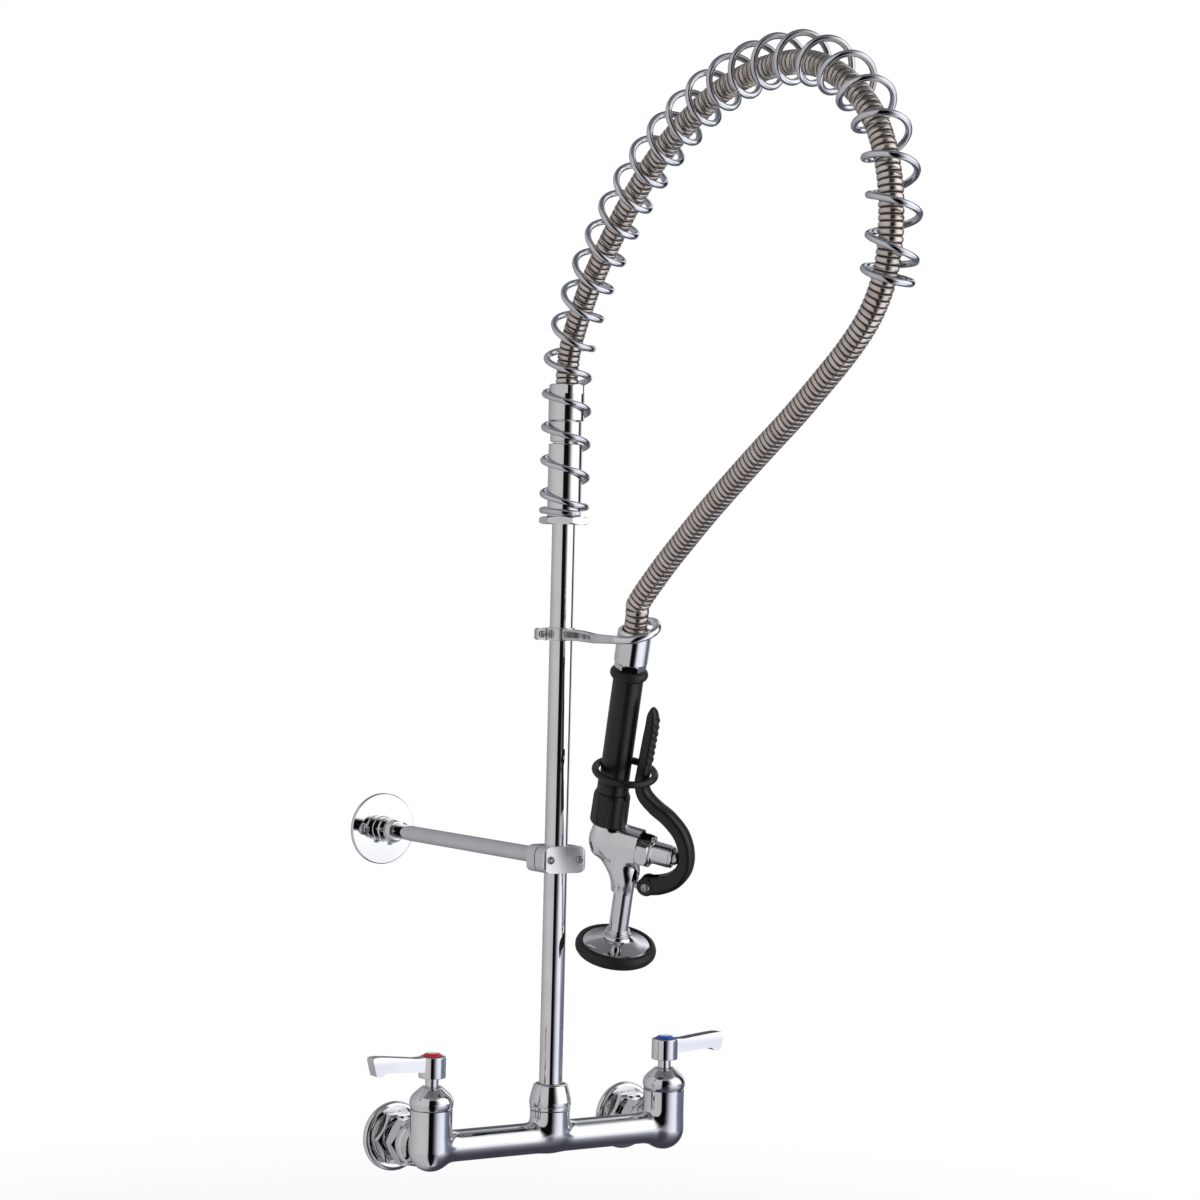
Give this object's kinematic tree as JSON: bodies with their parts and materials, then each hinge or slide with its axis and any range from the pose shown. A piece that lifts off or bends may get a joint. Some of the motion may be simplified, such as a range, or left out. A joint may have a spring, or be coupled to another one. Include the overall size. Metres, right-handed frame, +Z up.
{
  "type": "pre-rinse faucet",
  "caption": "Wall-mounted pre-rinse faucet: two-valve manifold, braced riser, sprung overhead hose and a hooked spray valve with a squeeze lever.",
  "frame": {"origin": "midway between the two inlets, in the plane of their wall faces, on the level of the cross tube's axis", "axes": "+X from the hot valve to the cold one, +Y into the wall, +Z up"},
  "size_m": [0.3062, 0.663, 0.8095],
  "materials": {
    "chrome_plate": "mirror-polished chrome plate",
    "hose_steel": "satin stainless steel strip, wound",
    "screw_steel": "bright steel fastener",
    "brass_raw": "machined brass, unplated",
    "black_polymer": "satin black moulded plastic",
    "black_rubber": "matte black rubber",
    "red_cap": "glossy red plastic",
    "blue_cap": "glossy blue plastic"
  },
  "bodies": {
    "faucet": {"faucet_body": "chrome_plate", "hot_bonnet": "chrome_plate", "cold_bonnet": "chrome_plate", "hot_cartridge": "brass_raw", "cold_cartridge": "brass_raw", "hot_union_nut": "chrome_plate", "cold_union_nut": "chrome_plate", "hot_inlet_flange": "chrome_plate", "cold_inlet_flange": "chrome_plate", "union_washers": "black_rubber", "riser_nut": "chrome_plate", "riser_packing": "black_rubber", "riser_pipe": "chrome_plate", "spring_seat": "chrome_plate", "spring_barrel": "chrome_plate", "hose_nipple": "chrome_plate", "hose_nut": "chrome_plate", "hose_washer": "black_rubber", "hose_end_top": "chrome_plate", "overhead_spring": "chrome_plate", "hose": "hose_steel", "hose_liner": "black_rubber", "hose_end_spray": "chrome_plate", "clamp_front": "chrome_plate", "clamp_back": "chrome_plate", "clamp_screws_pair": "screw_steel", "bracket_tube": "chrome_plate", "bracket_flange": "chrome_plate", "bracket_set_screw": "screw_steel", "wall_screws_pair": "screw_steel", "spray_hook": "chrome_plate", "hook_screw": "screw_steel"},
    "hot_valve": {"hot_stem": "chrome_plate", "hot_handle": "chrome_plate", "hot_handle_screw": "screw_steel", "hot_index_cap": "red_cap"},
    "cold_valve": {"cold_stem": "chrome_plate", "cold_handle": "chrome_plate", "cold_handle_screw": "screw_steel", "cold_index_cap": "blue_cap"},
    "spray_head": {"hose_collar": "chrome_plate", "grip_core": "chrome_plate", "bumper_ring": "black_rubber", "grip": "black_polymer", "fluted_nut": "black_polymer", "spray_body": "chrome_plate", "plunger_nut": "chrome_plate", "plunger_spring": "screw_steel", "nozzle_tube": "chrome_plate", "bell": "chrome_plate", "face_plate": "screw_steel", "bell_bumper": "black_rubber"},
    "lever": {"spray_lever": "black_polymer", "pivot_screw": "screw_steel"},
    "plunger_set": {"plunger": "screw_steel", "seat_washer": "black_rubber"},
    "hold_ring": {"hold_open_ring": "black_polymer"}
  },
  "joints": [
    {"name": "hot_handle_turn", "type": "hinge", "parent": "faucet", "child": "hot_valve", "pos_m": [-0.1016, -0.0545, 0.05], "axis": [0, 0, 1], "range_deg": [0, 90]},
    {"name": "cold_handle_turn", "type": "hinge", "parent": "faucet", "child": "cold_valve", "pos_m": [0.1016, -0.0545, 0.05], "axis": [0, 0, -1], "range_deg": [0, 90]},
    {"name": "spray_head_turn", "type": "hinge", "parent": "faucet", "child": "spray_head", "pos_m": [0, -0.151, 0.3717], "axis": [-0.1072, -0.3505, 0.9304], "range_deg": [-30, 60]},
    {"name": "lever_squeeze", "type": "hinge", "parent": "spray_head", "child": "lever", "pos_m": [0.0424, -0.11361, 0.19076], "axis": [-0.7822, -0.548, -0.2965], "range_deg": [0, 3], "stiffness_Nm_per_rad": 4, "springref_deg": -3.44},
    {"name": "plunger_press", "type": "slide", "parent": "spray_head", "child": "plunger_set", "axis": [-0.6138, 0.7595, 0.2154], "range_m": [0, 0.0015]},
    {"name": "hold_ring_slide", "type": "slide", "parent": "spray_head", "child": "hold_ring", "axis": [-0.1072, -0.3505, 0.9304], "range_m": [0, 0.01]}
  ],
  "couplings": [
    {"joint": "plunger_press", "follows": "lever_squeeze", "m_per_rad": 0.027}
  ]
}
